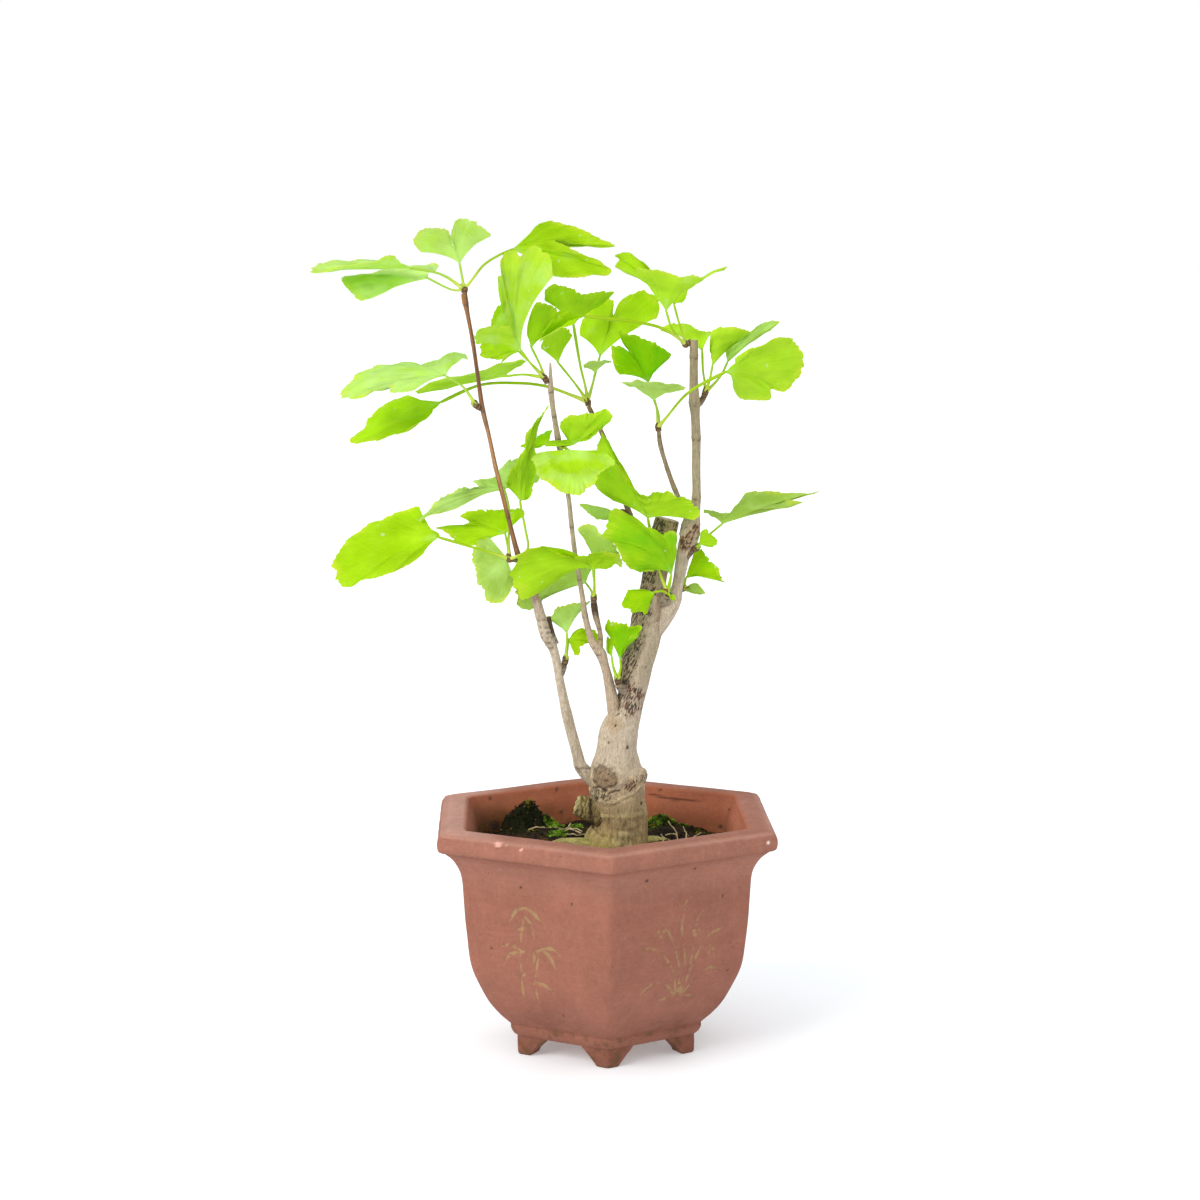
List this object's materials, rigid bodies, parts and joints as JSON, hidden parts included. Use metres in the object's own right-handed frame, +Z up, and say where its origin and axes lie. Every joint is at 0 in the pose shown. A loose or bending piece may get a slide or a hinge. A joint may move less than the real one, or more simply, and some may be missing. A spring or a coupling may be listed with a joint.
{
  "type": "ginkgo bonsai",
  "caption": "Ginkgo bonsai: fan-shaped leaves in bunches on slender branches from a short thick trunk, growing in a hexagonal unglazed clay pot with a flared lip and small feet.",
  "frame": {"origin": "middle of the bounding box's base, on the surface the feet stand on; the pot's axis is 16.4 mm towards +X", "axes": "+Z up along the pot's axis; -Y is the front, with a corner of the hexagonal pot turned 1.8 degrees from it; +X is to the right seen from the front"},
  "size_m": [0.2469, 0.1894, 0.4111],
  "materials": {
    "clay": "matte",
    "soil": "matte",
    "mesh": "matte",
    "bark": "matte",
    "leaf": "satin",
    "leaf_pale": "satin",
    "leaf_deep": "satin"
  },
  "bodies": {
    "root": {"pot": "clay", "drainage_mesh": "mesh", "soil": "soil", "wood": "bark", "spray_left_tip": "leaf", "spray_left_middle": "leaf", "spray_middle_tip": "leaf", "spray_back_tip": "leaf", "spray_back_twig": "leaf", "spray_right_tip": "leaf", "spray_right_upper": "leaf", "spray_left_lower": "leaf", "spray_middle_fork": "leaf", "spray_left_spur": "leaf", "spray_trunk_spur": "leaf_pale", "spray_fork": "leaf", "spray_middle_spur": "leaf", "spray_right_middle": "leaf", "spray_fork_back": "leaf_deep", "spray_back_spur": "leaf_deep"}
  },
  "joints": []
}
